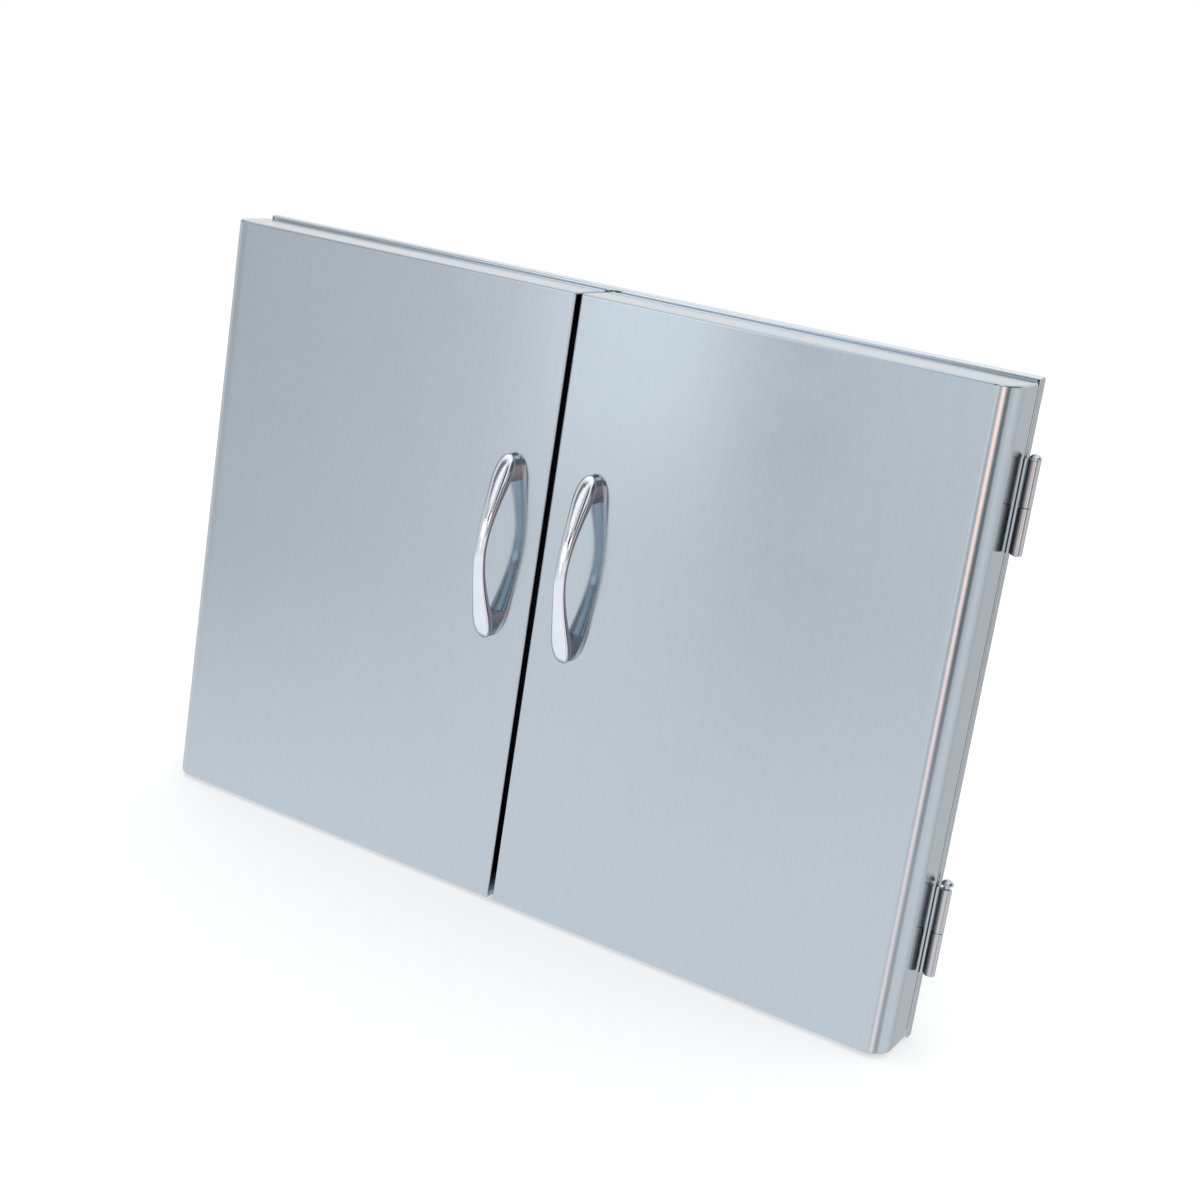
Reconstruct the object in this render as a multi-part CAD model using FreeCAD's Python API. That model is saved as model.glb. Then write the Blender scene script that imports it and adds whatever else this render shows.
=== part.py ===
import FreeCAD, Part
import math
import os

# Double access door for an outdoor kitchen island, in millimetres.
# X runs along the width, the doors face -Y, and +Z is up.
# The origin is the middle of the plane where the trim rests on the island.

Vec = FreeCAD.Vector

# Sheet metal
SHEET = 1.2
EDGE_BEND = 2.0

# Frame: trim in front of the island face, sleeve reaching into the cut-out
FRAME_WIDTH = 762.0
FRAME_HEIGHT = 558.8
TRIM_DEPTH = 10.0
SLEEVE_INSET = 38.1
SLEEVE_REACH = 38.0
SLEEVE_LIP = 10.0
SEAT_HEM = 12.0
TRIM_NOTCH = 0.8
TRIM_PINHOLE = 1.8
TRIM_PINHOLE_INSET = 2.8

# Screw holes in the sleeve, two to a side
MOUNT_HOLE = 4.8
MOUNT_HOLE_REACH = 20.0
STILE_HOLE_SPACING = 320.0
RAIL_HOLE_SPACING = 440.0

# Doors
DOOR_DEPTH = 53.0
DOOR_SIDE_SHOW = 0.3
DOOR_END_SHOW = 3.4
CENTRE_GAP = 5.0
HINGE_SIDE_BEND = 20.0
HINGE_SIDE_RETURN = 34.0
DOOR_RETURN = 18.0
CORNER_RELIEF = 3.2

# Liner panels that close the backs of the doors
LINER = 1.0
LINER_OVERLAP = 12.0
LINER_BORDER = 52.0
LINER_DISH = 3.0
LINER_DISH_CORNER = 8.0
LINER_RIVET_INSET = 6.0
LINER_RIVET_COLUMNS = 3
LINER_RIVET_ROWS = 4
LINER_RIVET_SHANK = 3.2
LINER_RIVET_HEAD = 6.4
LINER_RIVET_HEAD_HEIGHT = 1.1

# Lift-off hinges
HINGE_LENGTH = 76.2
HINGE_INSET = 97.0
LEAF = 2.1
LEAF_GAP = 0.3
LEAF_REACH = 30.0
LEAF_CORNER = 4.0
PIN_OFFSET = 7.6
PIN_DIAMETER = 5.2
PIN_CLEARANCE = 0.05
PIN_TIP = 1.0
PIN_TIP_CHAMFER = 0.8
PIN_HEAD_DIAMETER = 9.8
PIN_HEAD_RIM = 1.3
PIN_HEAD_DOME = 3.2
KNUCKLE_GAP = 0.3
KNUCKLE_SIDE_GAP = 0.5
KNUCKLE_EDGE = 0.4
RAISED_PIN_LIFT = 3.5

# Countersunk rivets in the hinge leaves
HINGE_RIVET_SHANK = 4.0
HINGE_RIVET_HEAD = 7.0
HINGE_RIVET_HEAD_DEPTH = 1.5
HINGE_RIVET_TAIL = 6.0
HINGE_RIVET_TAIL_HEIGHT = 1.4
HINGE_RIVET_SPACING = 26.0
HINGE_RIVET_NEAR = 14.0
HINGE_RIVET_FAR = 22.0

# Handles
HANDLE_X = 40.8
HANDLE_Z = 45.4
HANDLE_LENGTH = 166.4
HANDLE_SCREW_INSET = 13.2
HANDLE_STANDOFF = 31.5
HANDLE_END_STANDOFF = 4.5
HANDLE_CROWN = 0.42
HANDLE_MIDDLE_WIDTH = 10.3
HANDLE_END_WIDTH = 23.4
HANDLE_MIDDLE_THICKNESS = 5.8
HANDLE_END_THICKNESS = 15.5
HANDLE_SQUARENESS = 3.2
HANDLE_TIP_ROUNDING = 28.3
HANDLE_TIP_FLAT = 0.08
HANDLE_SECTIONS = 29
HANDLE_SECTION_POINTS = 24
HANDLE_FOOT_LENGTH = 23.2
HANDLE_FOOT_TIP = 0.2
HANDLE_FOOT_SHARE = 0.87
HANDLE_FOOT_SECTIONS = 9

# Screws and washers that hold the handles from inside the doors
HANDLE_SCREW = 5.0
HANDLE_SCREW_GRIP = 9.0
HANDLE_SCREW_END_ROOM = 1.0
HANDLE_SCREW_HEAD = 9.0
HANDLE_SCREW_HEAD_HEIGHT = 3.4
HANDLE_SCREW_RECESS = 3.0
HANDLE_SCREW_RECESS_DEPTH = 1.6
WASHER = 1.0
WASHER_DIAMETER = 12.0
HANDLE_HOLE = 5.5

# Magnetic catches under the top of the sleeve, and their strikes
CATCH_X = 62.0
CATCH_GAP = 0.3
CATCH_HEIGHT = 14.0
CATCH_DEPTH = 26.0
CATCH_MAGNET_WIDTH = 28.0
CATCH_WALL = 1.6
CATCH_EAR = 11.0
CATCH_EAR_THICKNESS = 3.6
CATCH_EDGE = 1.0
CATCH_FIT = 0.1
MAGNET_DEPTH = 14.0
POLE = 1.2
POLE_STAND = 0.8
STRIKE = 1.5
STRIKE_WIDTH = 42.0
STRIKE_CORNER = 3.0
STRIKE_RIVET_SPACING = 32.0
STRIKE_RIVET_SHANK = 3.0
STRIKE_RIVET_HEAD = 5.4
STRIKE_RIVET_HEAD_DEPTH = 1.1
STRIKE_RIVET_TAIL = 4.8
STRIKE_RIVET_TAIL_HEIGHT = 1.2
CATCH_SCREW = 3.5
CATCH_SCREW_LENGTH = 9.0
CATCH_SCREW_HEAD = 6.5
CATCH_SCREW_HEAD_HEIGHT = 2.2

# Rubber bumpers on the door returns
BUMPER_DIAMETER = 9.0
BUMPER_GAP = 0.3
BUMPER_EDGE = 0.8

# Room around shanks in their holes
SHANK_CLEARANCE = 0.05

# Planes and half sizes that follow from the dimensions above
FRAME_HALF_X = FRAME_WIDTH / 2
FRAME_HALF_Z = FRAME_HEIGHT / 2
TRIM_FRONT = -TRIM_DEPTH
OPENING_HALF_X = FRAME_HALF_X - SLEEVE_INSET - SHEET
OPENING_HALF_Z = FRAME_HALF_Z - SLEEVE_INSET - SHEET
DOOR_BACK = TRIM_FRONT - 2 * LEAF - LEAF_GAP
DOOR_FRONT = DOOR_BACK - DOOR_DEPTH
DOOR_INNER_X = CENTRE_GAP / 2
DOOR_OUTER_X = FRAME_HALF_X - DOOR_SIDE_SHOW
DOOR_HALF_Z = FRAME_HALF_Z - DOOR_END_SHOW
RETURN_FRONT = DOOR_BACK - SHEET
WINDOW_INNER_X = DOOR_INNER_X + DOOR_RETURN
WINDOW_OUTER_X = DOOR_OUTER_X - HINGE_SIDE_RETURN
WINDOW_HALF_Z = DOOR_HALF_Z - DOOR_RETURN
LINER_INNER_X = WINDOW_INNER_X - LINER_OVERLAP
LINER_OUTER_X = WINDOW_OUTER_X + LINER_OVERLAP
LINER_HALF_Z = WINDOW_HALF_Z + LINER_OVERLAP
BARREL_RADIUS = PIN_DIAMETER / 2 + PIN_CLEARANCE + LEAF
AXIS_X = FRAME_HALF_X + PIN_OFFSET
AXIS_Y = (TRIM_FRONT + DOOR_BACK) / 2
HINGE_Z = DOOR_HALF_Z - HINGE_INSET
STRIKE_BACK = RETURN_FRONT + STRIKE
POLE_FRONT = STRIKE_BACK + CATCH_GAP
CATCH_FRONT = POLE_FRONT + POLE_STAND
CATCH_Z = OPENING_HALF_Z - CATCH_HEIGHT / 2


def box(x0, x1, y0, y1, z0, z1):
    return Part.makeBox(x1 - x0, y1 - y0, z1 - z0, Vec(x0, y0, z0))


def rod(radius, start, direction, length):
    return Part.makeCylinder(radius, length, start, direction)


def edges_at(shape, direction, **place):
    """Straight edges along a direction whose middle has the given coordinates."""
    found = []
    for edge in shape.Edges:
        if edge.Curve.TypeId != "Part::GeomLine":
            continue
        if edge.Curve.Direction.cross(direction).Length > 1e-6:
            continue
        middle = edge.valueAt((edge.FirstParameter + edge.LastParameter) / 2)
        if all(abs(getattr(middle, axis) - value) < 1e-4 for axis, value in place.items()):
            found.append(edge)
    return found


def mirrored_x(shape):
    return shape.mirror(Vec(0, 0, 0), Vec(1, 0, 0))


def mirrored_z(shape):
    return shape.mirror(Vec(0, 0, 0), Vec(0, 0, 1))


def save(name, solids):
    """Write one node, a single solid or a group of separate ones."""
    shape = solids[0] if len(solids) == 1 else Part.makeCompound(solids)
    shape.exportStep("parts/%s.step" % name)


def both_sides(name, solids):
    """Write a right-hand node, and its mirror image as the left-hand one."""
    save("right_" + name, solids)
    save("left_" + name, [mirrored_x(solid) for solid in solids])


# Rivets and screws

def flush_rivet(face, inward, shank, head, head_depth, grip, tail, tail_height):
    """Rivet with a countersunk head in a face and a formed tail past the grip."""
    cone = Part.makeCone(head / 2, shank / 2, head_depth, face, inward)
    body = rod(shank / 2, face, inward, grip + tail_height / 2)
    end = face + inward * grip
    formed = Part.makeCone(tail / 2, tail / 4, tail_height, end, inward)
    return cone.fuse([body, formed]).removeSplitter()


def flush_rivet_room(face, inward, shank, head, head_depth, grip):
    """The hole that a countersunk rivet goes through."""
    hole_radius = shank / 2 + SHANK_CLEARANCE
    sink = Part.makeCone(head / 2 + SHANK_CLEARANCE, hole_radius, head_depth, face, inward)
    bore = rod(hole_radius, face, inward, grip)
    return sink.fuse(bore)


def hinge_rivet(face, inward):
    return flush_rivet(face, inward, HINGE_RIVET_SHANK, HINGE_RIVET_HEAD, HINGE_RIVET_HEAD_DEPTH,
                       LEAF + SHEET, HINGE_RIVET_TAIL, HINGE_RIVET_TAIL_HEIGHT)


def hinge_rivet_room(face, inward):
    return flush_rivet_room(face, inward, HINGE_RIVET_SHANK, HINGE_RIVET_HEAD,
                            HINGE_RIVET_HEAD_DEPTH, LEAF + SHEET)


def strike_rivet(face):
    return flush_rivet(face, Vec(0, -1, 0), STRIKE_RIVET_SHANK, STRIKE_RIVET_HEAD,
                       STRIKE_RIVET_HEAD_DEPTH, STRIKE + LINER, STRIKE_RIVET_TAIL,
                       STRIKE_RIVET_TAIL_HEIGHT)


def strike_rivet_room(face):
    return flush_rivet_room(face, Vec(0, -1, 0), STRIKE_RIVET_SHANK, STRIKE_RIVET_HEAD,
                            STRIKE_RIVET_HEAD_DEPTH, STRIKE + LINER)


# Places of the fasteners, on the right-hand side

def hinge_rivet_places(hinge_z):
    near = AXIS_X - HINGE_RIVET_NEAR
    far = AXIS_X - HINGE_RIVET_FAR
    high = hinge_z + HINGE_RIVET_SPACING
    low = hinge_z - HINGE_RIVET_SPACING
    return [(near, high), (far, hinge_z), (near, low)]


def strike_rivet_faces():
    offset = STRIKE_RIVET_SPACING / 2
    return [Vec(CATCH_X - offset, STRIKE_BACK, CATCH_Z), Vec(CATCH_X + offset, STRIKE_BACK, CATCH_Z)]


def catch_screw_places():
    offset = CATCH_MAGNET_WIDTH / 2 + CATCH_WALL + CATCH_EAR / 2
    middle_y = CATCH_FRONT + CATCH_DEPTH / 2
    return [(CATCH_X - offset, middle_y), (CATCH_X + offset, middle_y)]


def handle_screw_heights():
    reach = HANDLE_LENGTH / 2 - HANDLE_SCREW_INSET
    return [HANDLE_Z - reach, HANDLE_Z + reach]


def liner_rivet_places():
    """Points round the liner, over the middle of the door returns' inner edges."""
    x0 = WINDOW_INNER_X - LINER_RIVET_INSET
    x1 = WINDOW_OUTER_X + LINER_RIVET_INSET
    top = WINDOW_HALF_Z + LINER_RIVET_INSET
    places = []
    for column in range(LINER_RIVET_COLUMNS):
        x = x0 + (x1 - x0) * (column + 0.5) / LINER_RIVET_COLUMNS
        places += [(x, top), (x, -top)]
    for row in range(LINER_RIVET_ROWS):
        z = -top + 2 * top * (row + 0.5) / LINER_RIVET_ROWS
        places += [(x0, z), (x1, z)]
    return places


# Frame

def frame_section(outer, along_x):
    """Bent sheet section from its outer edge inwards: hem, return, trim, sleeve and lip."""
    sleeve = outer - SLEEVE_INSET
    face_end = sleeve - SHEET
    strips = [
        (outer - SEAT_HEM, outer, -SHEET, 0),
        (outer - SHEET, outer, TRIM_FRONT, 0),
        (face_end, outer, TRIM_FRONT, TRIM_FRONT + SHEET),
        (face_end, sleeve, TRIM_FRONT, SLEEVE_REACH),
        (face_end - SLEEVE_LIP, sleeve, SLEEVE_REACH - SHEET, SLEEVE_REACH),
    ]
    half = FRAME_HALF_X if along_x else FRAME_HALF_Z
    bars = []
    for low, high, front, back in strips:
        if along_x:
            bars.append(box(-half, half, front, back, low, high))
        else:
            bars.append(box(low, high, front, back, -half, half))
    bar = bars[0].fuse(bars[1:]).removeSplitter()
    direction = Vec(1, 0, 0) if along_x else Vec(0, 0, 1)
    across = "z" if along_x else "x"
    outside = [(outer, 0), (outer, TRIM_FRONT), (face_end, TRIM_FRONT), (sleeve, SLEEVE_REACH)]
    inside = [(outer - SHEET, -SHEET), (outer - SHEET, TRIM_FRONT + SHEET),
              (sleeve, TRIM_FRONT + SHEET), (face_end, SLEEVE_REACH - SHEET)]
    for corners, radius in ((outside, EDGE_BEND), (inside, EDGE_BEND - SHEET)):
        edges = []
        for place, y in corners:
            edges += edges_at(bar, direction, y=y, **{across: place})
        bar = bar.makeFillet(radius, edges)
    return bar


def mitre(half_x, half_z, along_x):
    """Wedge from one outer edge inwards, with ends at 45 degrees."""
    depth = SLEEVE_INSET + 2 * SHEET + SLEEVE_LIP
    front = TRIM_FRONT - SHEET
    if along_x:
        corners = [(-half_x, half_z), (half_x, half_z),
                   (half_x - depth, half_z - depth), (depth - half_x, half_z - depth)]
    else:
        corners = [(half_x, -half_z), (half_x, half_z),
                   (half_x - depth, half_z - depth), (half_x - depth, depth - half_z)]
    points = [Vec(x, front, z) for x, z in corners]
    face = Part.Face(Part.makePolygon(points + points[:1]))
    return face.extrude(Vec(0, SLEEVE_REACH - front + SHEET, 0))


def frame_cuts():
    """Notch and pinhole at each trim corner, and every other hole in the frame."""
    notch = box(FRAME_HALF_X - TRIM_NOTCH, FRAME_HALF_X, TRIM_FRONT + SHEET, 0,
                FRAME_HALF_Z - TRIM_NOTCH, FRAME_HALF_Z)
    corner = Vec(FRAME_HALF_X - TRIM_PINHOLE_INSET, TRIM_FRONT - SHEET,
                 FRAME_HALF_Z - TRIM_PINHOLE_INSET)
    pinhole = rod(TRIM_PINHOLE / 2, corner, Vec(0, 1, 0), 3 * SHEET)
    cuts = []
    for cut in (notch, pinhole):
        cuts += [cut, mirrored_z(cut), mirrored_x(cut), mirrored_x(mirrored_z(cut))]
    for z in (-STILE_HOLE_SPACING / 2, STILE_HOLE_SPACING / 2):
        start = Vec(OPENING_HALF_X - SHEET, MOUNT_HOLE_REACH, z)
        hole = rod(MOUNT_HOLE / 2, start, Vec(1, 0, 0), 3 * SHEET)
        cuts += [hole, mirrored_x(hole)]
    for x in (-RAIL_HOLE_SPACING / 2, RAIL_HOLE_SPACING / 2):
        start = Vec(x, MOUNT_HOLE_REACH, OPENING_HALF_Z - SHEET)
        hole = rod(MOUNT_HOLE / 2, start, Vec(0, 0, 1), 3 * SHEET)
        cuts += [hole, mirrored_z(hole)]
    for hinge_z in (-HINGE_Z, HINGE_Z):
        for x, z in hinge_rivet_places(hinge_z):
            hole = hinge_rivet_room(Vec(x, TRIM_FRONT - LEAF, z), Vec(0, 1, 0))
            cuts += [hole, mirrored_x(hole)]
    for x, y in catch_screw_places():
        hole = rod(CATCH_SCREW / 2 + SHANK_CLEARANCE, Vec(x, y, CATCH_Z), Vec(0, 0, 1), CATCH_HEIGHT)
        cuts += [hole, mirrored_x(hole)]
    return cuts


def build_frame():
    cuts = frame_cuts()
    rail = frame_section(FRAME_HALF_Z, True).common(mitre(FRAME_HALF_X, FRAME_HALF_Z, True))
    stile = frame_section(FRAME_HALF_X, False).common(mitre(FRAME_HALF_X, FRAME_HALF_Z, False))
    save("frame_top_rail", [rail.cut(cuts)])
    save("frame_bottom_rail", [mirrored_z(rail).cut(cuts)])
    save("frame_right_stile", [stile.cut(cuts)])
    save("frame_left_stile", [mirrored_x(stile).cut(cuts)])


# Doors

def arc_corner(corner, radius, before, after):
    """Arc that rounds a corner between two unit directions leading away from it."""
    first = corner + before * radius
    last = corner + after * radius
    centre = first + after * radius
    middle = centre + (corner - centre).normalize() * radius
    return first, last, Part.Arc(first, middle, last).toShape()


def door_block(inset):
    """Rounded block of one door, moved inwards by an inset on every side."""
    x0 = DOOR_INNER_X + inset
    x1 = DOOR_OUTER_X - inset
    y0 = DOOR_FRONT + inset
    y1 = DOOR_BACK - inset
    half = DOOR_HALF_Z - inset
    bend = EDGE_BEND - inset
    right = Vec(1, 0, 0)
    back = Vec(0, 1, 0)
    corners = [
        (Vec(x0, y1, -half), bend, right, -back),
        (Vec(x0, y0, -half), bend, back, right),
        (Vec(x1, y0, -half), HINGE_SIDE_BEND - inset, -right, back),
        (Vec(x1, y1, -half), bend, -back, -right),
    ]
    rounded = [arc_corner(*corner) for corner in corners]
    edges = []
    for index, (first, last, arc) in enumerate(rounded):
        following = rounded[(index + 1) % len(rounded)][0]
        edges.append(arc)
        edges.append(Part.LineSegment(last, following).toShape())
    block = Part.Face(Part.Wire(edges)).extrude(Vec(0, 0, 2 * half))
    loops = []
    for edge in block.Edges:
        if abs(abs(edge.BoundBox.ZMin) - half) < 1e-6 and edge.BoundBox.ZLength < 1e-6:
            loops.append(edge)
    return block.makeFillet(bend, loops)


def door_shell():
    shell = door_block(0).cut(door_block(SHEET))
    cuts = [box(WINDOW_INNER_X, WINDOW_OUTER_X, RETURN_FRONT - SHEET, DOOR_BACK + SHEET,
                -WINDOW_HALF_Z, WINDOW_HALF_Z)]
    for x in (DOOR_INNER_X, DOOR_OUTER_X):
        for z in (-DOOR_HALF_Z, DOOR_HALF_Z):
            cuts.append(Part.makeSphere(CORNER_RELIEF, Vec(x, DOOR_BACK, z)))
    for z in handle_screw_heights():
        cuts.append(rod(HANDLE_HOLE / 2, Vec(HANDLE_X, DOOR_FRONT - SHEET, z), Vec(0, 1, 0), 3 * SHEET))
    for hinge_z in (-HINGE_Z, HINGE_Z):
        for x, z in hinge_rivet_places(hinge_z):
            cuts.append(hinge_rivet_room(Vec(x, DOOR_BACK + LEAF, z), Vec(0, -1, 0)))
    for x, z in liner_rivet_places():
        cuts.append(liner_rivet_room(x, z))
    return shell.cut(cuts)


def liner_rivet_room(x, z):
    radius = LINER_RIVET_SHANK / 2 + SHANK_CLEARANCE
    return rod(radius, Vec(x, RETURN_FRONT - 2 * LINER, z), Vec(0, 1, 0), SHEET + 3 * LINER)


def liner_rivet(x, z):
    """Blind rivet with a low domed head on the door's back and a bulb inside."""
    head = dome(LINER_RIVET_HEAD / 2, LINER_RIVET_HEAD_HEIGHT, Vec(x, DOOR_BACK, z), Vec(0, 1, 0))
    grip = SHEET + LINER
    shank = rod(LINER_RIVET_SHANK / 2, Vec(x, DOOR_BACK, z), Vec(0, -1, 0), grip + LINER)
    bulb = rod(LINER_RIVET_HEAD / 3, Vec(x, DOOR_BACK - grip, z), Vec(0, -1, 0), LINER)
    return head.fuse([shank, bulb]).removeSplitter()


def dome(radius, height, base, direction):
    """Spherical cap that stands on a flat base."""
    sphere_radius = (radius * radius + height * height) / (2 * height)
    centre = base - direction * (sphere_radius - height)
    ball = Part.makeSphere(sphere_radius, centre)
    return ball.common(rod(radius, base, direction, height))


def door_liner():
    """Flat border over the returns, with a shallow dished field inside it."""
    plate = box(LINER_INNER_X, LINER_OUTER_X, RETURN_FRONT - LINER, RETURN_FRONT,
                -LINER_HALF_Z, LINER_HALF_Z)
    liner = plate.fuse(dish_block(0)).cut(dish_block(LINER)).removeSplitter()
    cuts = [liner_rivet_room(x, z) for x, z in liner_rivet_places()]
    cuts += [strike_rivet_room(face) for face in strike_rivet_faces()]
    return liner.cut(cuts)


def dish_block(inset):
    """Block of the dished field with rounded corners, moved inwards by an inset."""
    x0 = LINER_INNER_X + LINER_BORDER + inset
    x1 = LINER_OUTER_X - LINER_BORDER - inset
    half = LINER_HALF_Z - LINER_BORDER - inset
    front = RETURN_FRONT - LINER - LINER_DISH + inset
    block = box(x0, x1, front, RETURN_FRONT, -half, half)
    return block.makeFillet(LINER_DISH_CORNER - inset, edges_at(block, Vec(0, 1, 0)))


def build_doors():
    both_sides("door_shell", [door_shell()])
    both_sides("door_liner", [door_liner()])
    both_sides("liner_rivets", [liner_rivet(x, z) for x, z in liner_rivet_places()])
    both_sides("door_bumpers", [door_bumper(-1), door_bumper(1)])


def door_bumper(side):
    """Rubber stop on the return, short of the trim by the bumper gap."""
    height = TRIM_FRONT - DOOR_BACK - BUMPER_GAP
    x = DOOR_INNER_X + DOOR_RETURN / 2
    z = side * (DOOR_HALF_Z - DOOR_RETURN / 2)
    stop = rod(BUMPER_DIAMETER / 2, Vec(x, DOOR_BACK, z), Vec(0, 1, 0), height)
    rim = [edge for edge in stop.Edges if abs(edge.BoundBox.YMin - DOOR_BACK - height) < 1e-4]
    return stop.makeFillet(BUMPER_EDGE, rim)


# Handles

def squared_oval(centre, across, outward, half_width, half_thickness):
    """Closed curve between an ellipse and a rectangle."""
    power = 2 / HANDLE_SQUARENESS
    points = []
    for index in range(HANDLE_SECTION_POINTS):
        angle = 2 * math.pi * index / HANDLE_SECTION_POINTS
        sideways = math.copysign(abs(math.cos(angle)) ** power, math.cos(angle))
        forwards = math.copysign(abs(math.sin(angle)) ** power, math.sin(angle))
        points.append(centre + across * (half_width * sideways) + outward * (half_thickness * forwards))
    curve = Part.BSplineCurve()
    parameters = [index / HANDLE_SECTION_POINTS for index in range(HANDLE_SECTION_POINTS + 1)]
    curve.interpolate(Points=points, PeriodicFlag=True, Parameters=parameters)
    return Part.Wire(curve.toShape())


def handle_taper(u):
    """Share of its full size that the bow keeps at u, down to none at the tips."""
    tip = 1 - HANDLE_TIP_ROUNDING / (HANDLE_LENGTH / 2)
    past = max(0.0, (abs(u) - tip) / (1 - tip))
    return math.sqrt(max(0.0, 1 - past * past))


def handle_half_width(u):
    width = HANDLE_MIDDLE_WIDTH + (HANDLE_END_WIDTH - HANDLE_MIDDLE_WIDTH) * u * u
    return width / 2 * handle_taper(u)


def handle_half_thickness(u):
    thickness = HANDLE_MIDDLE_THICKNESS + (HANDLE_END_THICKNESS - HANDLE_MIDDLE_THICKNESS) * u * u
    return thickness / 2 * handle_taper(u)


def handle_centre(u):
    """Middle of the bow at u, which runs from -1 at the lower tip to 1 at the upper one."""
    fall = HANDLE_STANDOFF - HANDLE_END_STANDOFF
    share = (math.hypot(u, HANDLE_CROWN) - HANDLE_CROWN) / (math.hypot(1, HANDLE_CROWN) - HANDLE_CROWN)
    return Vec(HANDLE_X, DOOR_FRONT - HANDLE_STANDOFF + fall * share, HANDLE_Z + u * HANDLE_LENGTH / 2)


def handle_slope(u):
    """How fast the bow nears the door with height at u."""
    fall = (HANDLE_STANDOFF - HANDLE_END_STANDOFF) / (HANDLE_LENGTH / 2)
    return fall * u / math.hypot(u, HANDLE_CROWN) / (math.hypot(1, HANDLE_CROWN) - HANDLE_CROWN)


def handle_section(u):
    """Squared oval across the bow at u."""
    outward = Vec(0, -1, handle_slope(u)).normalize()
    return squared_oval(handle_centre(u), Vec(1, 0, 0), outward, handle_half_width(u), handle_half_thickness(u))


def handle_foot(end):
    """Block from the door to the middle of the bow, as wide as the bow's outline allows."""
    half = HANDLE_LENGTH / 2
    sections = []
    for step in range(HANDLE_FOOT_SECTIONS):
        share = math.sin(math.pi / 2 * step / (HANDLE_FOOT_SECTIONS - 1))
        reach = half - HANDLE_FOOT_LENGTH + (HANDLE_FOOT_LENGTH - HANDLE_FOOT_TIP) * share
        u = end * reach / half
        centre = handle_centre(u)
        across = Vec(HANDLE_FOOT_SHARE * handle_half_width(u), 0, 0)
        seat = Vec(centre.x, DOOR_FRONT, centre.z)
        corners = [seat - across, seat + across, centre + across, centre - across, seat - across]
        sections.append(Part.makePolygon(corners))
    return Part.makeLoft(sections, True, False)


def handle_bore(z):
    foot = Vec(HANDLE_X, DOOR_FRONT, z)
    depth = HANDLE_SCREW_GRIP + HANDLE_SCREW_END_ROOM
    return rod(HANDLE_SCREW / 2 + SHANK_CLEARANCE, foot, Vec(0, -1, 0), depth)


def handle():
    """Bow lofted through sections that lie closer together towards its tips, on two feet."""
    reach = 1 - HANDLE_TIP_FLAT / (HANDLE_LENGTH / 2)
    steps = HANDLE_SECTIONS - 1
    sections = []
    for step in range(HANDLE_SECTIONS):
        sections.append(handle_section(-reach * math.cos(math.pi * step / steps)))
    bow = Part.makeLoft(sections, True, False)
    heights = handle_screw_heights()
    return bow.fuse([handle_foot(-1), handle_foot(1)]).cut([handle_bore(z) for z in heights])


def handle_screw(z):
    """Socket head screw from inside the door, through its washer into a foot of the handle."""
    seat = Vec(HANDLE_X, DOOR_FRONT + SHEET + WASHER, z)
    shank = rod(HANDLE_SCREW / 2, seat, Vec(0, -1, 0), WASHER + SHEET + HANDLE_SCREW_GRIP)
    head = rod(HANDLE_SCREW_HEAD / 2, seat, Vec(0, 1, 0), HANDLE_SCREW_HEAD_HEIGHT)
    top = seat + Vec(0, HANDLE_SCREW_HEAD_HEIGHT - HANDLE_SCREW_RECESS_DEPTH, 0)
    corner_radius = HANDLE_SCREW_RECESS / math.sqrt(3)
    corners = []
    for index in range(7):
        angle = math.radians(60 * index)
        corners.append(top + Vec(math.cos(angle), 0, math.sin(angle)) * corner_radius)
    socket = Part.Face(Part.makePolygon(corners)).extrude(Vec(0, HANDLE_SCREW_RECESS_DEPTH, 0))
    return shank.fuse(head).removeSplitter().cut(socket)


def handle_washer(z):
    start = Vec(HANDLE_X, DOOR_FRONT + SHEET, z)
    disc = rod(WASHER_DIAMETER / 2, start, Vec(0, 1, 0), WASHER)
    return disc.cut(rod(HANDLE_SCREW / 2 + SHANK_CLEARANCE, start, Vec(0, 1, 0), WASHER))


def build_handles():
    heights = handle_screw_heights()
    both_sides("handle", [handle()])
    both_sides("handle_screws", [handle_screw(z) for z in heights])
    both_sides("handle_washers", [handle_washer(z) for z in heights])


# Hinges

def hinge_leaf(hinge_z, front, upper):
    """Leaf plate with one knuckle, above or below the middle of the hinge."""
    half = HINGE_LENGTH / 2
    x0 = AXIS_X - LEAF_REACH
    x1 = AXIS_X - BARREL_RADIUS - KNUCKLE_SIDE_GAP
    plate = box(x0, x1, front, front + LEAF, hinge_z - half, hinge_z + half)
    plate = plate.makeFillet(LEAF_CORNER, edges_at(plate, Vec(0, 1, 0), x=x0))
    low = hinge_z + KNUCKLE_GAP / 2 if upper else hinge_z - half
    length = half - KNUCKLE_GAP / 2
    high = low + length
    neck = box(x1 - KNUCKLE_SIDE_GAP, AXIS_X, front, front + LEAF,
               low + KNUCKLE_EDGE, high - KNUCKLE_EDGE)
    barrel = rod(BARREL_RADIUS, Vec(AXIS_X, AXIS_Y, low), Vec(0, 0, 1), length)
    rims = [edge for edge in barrel.Edges if edge.BoundBox.ZLength < 1e-6]
    barrel = barrel.makeChamfer(KNUCKLE_EDGE, rims)
    bore = rod(PIN_DIAMETER / 2 + PIN_CLEARANCE, Vec(AXIS_X, AXIS_Y, low), Vec(0, 0, 1), length)
    return plate.fuse([neck, barrel]).removeSplitter().cut(bore)


def door_leaf(hinge_z):
    leaf = hinge_leaf(hinge_z, DOOR_BACK, True)
    places = hinge_rivet_places(hinge_z)
    return leaf.cut([hinge_rivet_room(Vec(x, DOOR_BACK + LEAF, z), Vec(0, -1, 0)) for x, z in places])


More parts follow.
